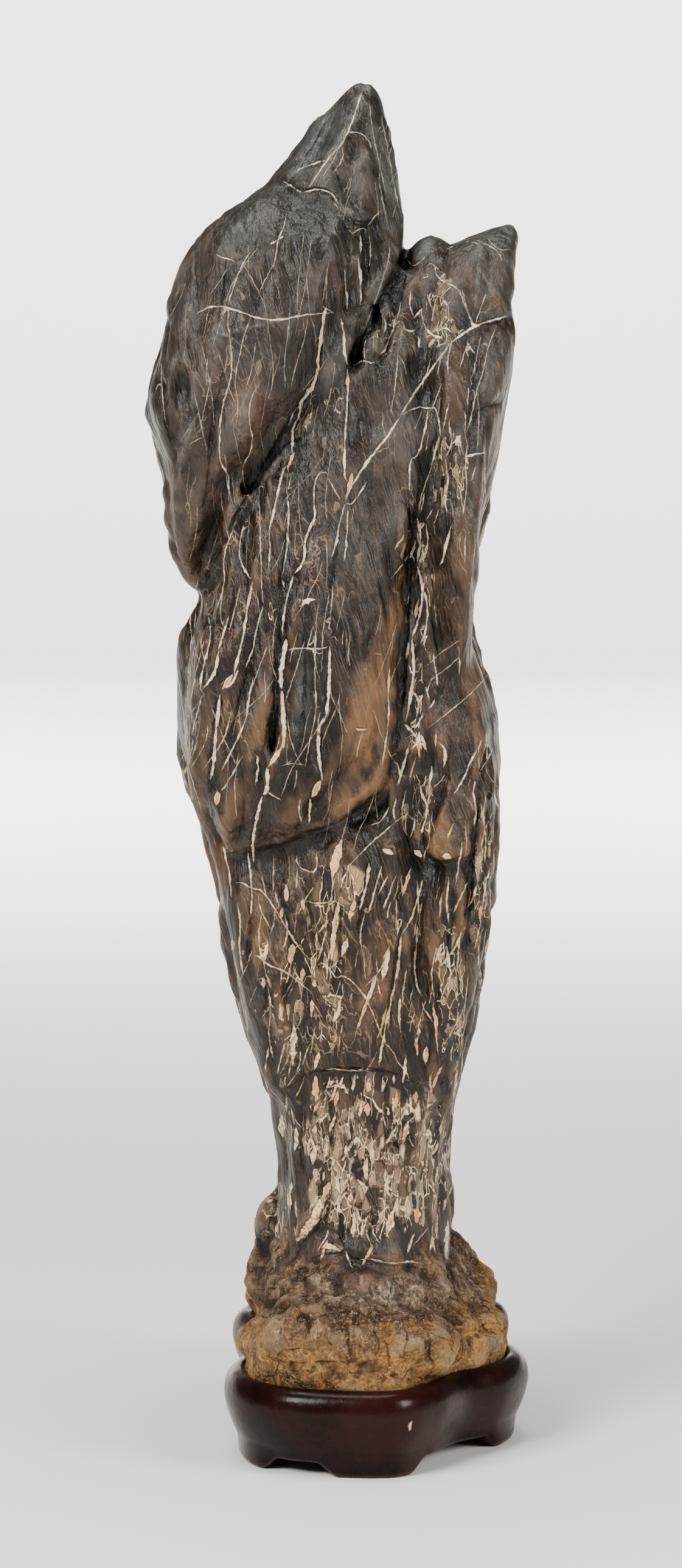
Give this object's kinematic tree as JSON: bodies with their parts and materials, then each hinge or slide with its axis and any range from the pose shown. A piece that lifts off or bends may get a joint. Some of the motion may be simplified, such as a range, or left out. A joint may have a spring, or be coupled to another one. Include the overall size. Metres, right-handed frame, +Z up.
{
  "type": "viewing stone on stand",
  "caption": "Tall, folded and veined limestone pillar with a narrow neck, standing in a low lobed stand of carved dark wood with short feet.",
  "frame": {"origin": "centre of the bounding box's bottom face, where the stand's feet meet the surface that it stands on", "axes": "+Z up along the stone; -Y towards the viewer, the narrow front end of the stand; +X to the viewer's right"},
  "size_m": [0.13, 0.1776, 0.4624],
  "materials": {
    "stone": "hand-polished dark limestone with cream and orange calcite veins, rough ochre crust at the foot",
    "stand_wood": "dark red-brown lacquer, glossy, with small worn and chipped places"
  },
  "bodies": {
    "root": {"stone": "stone", "stand": "stand_wood"}
  },
  "joints": []
}
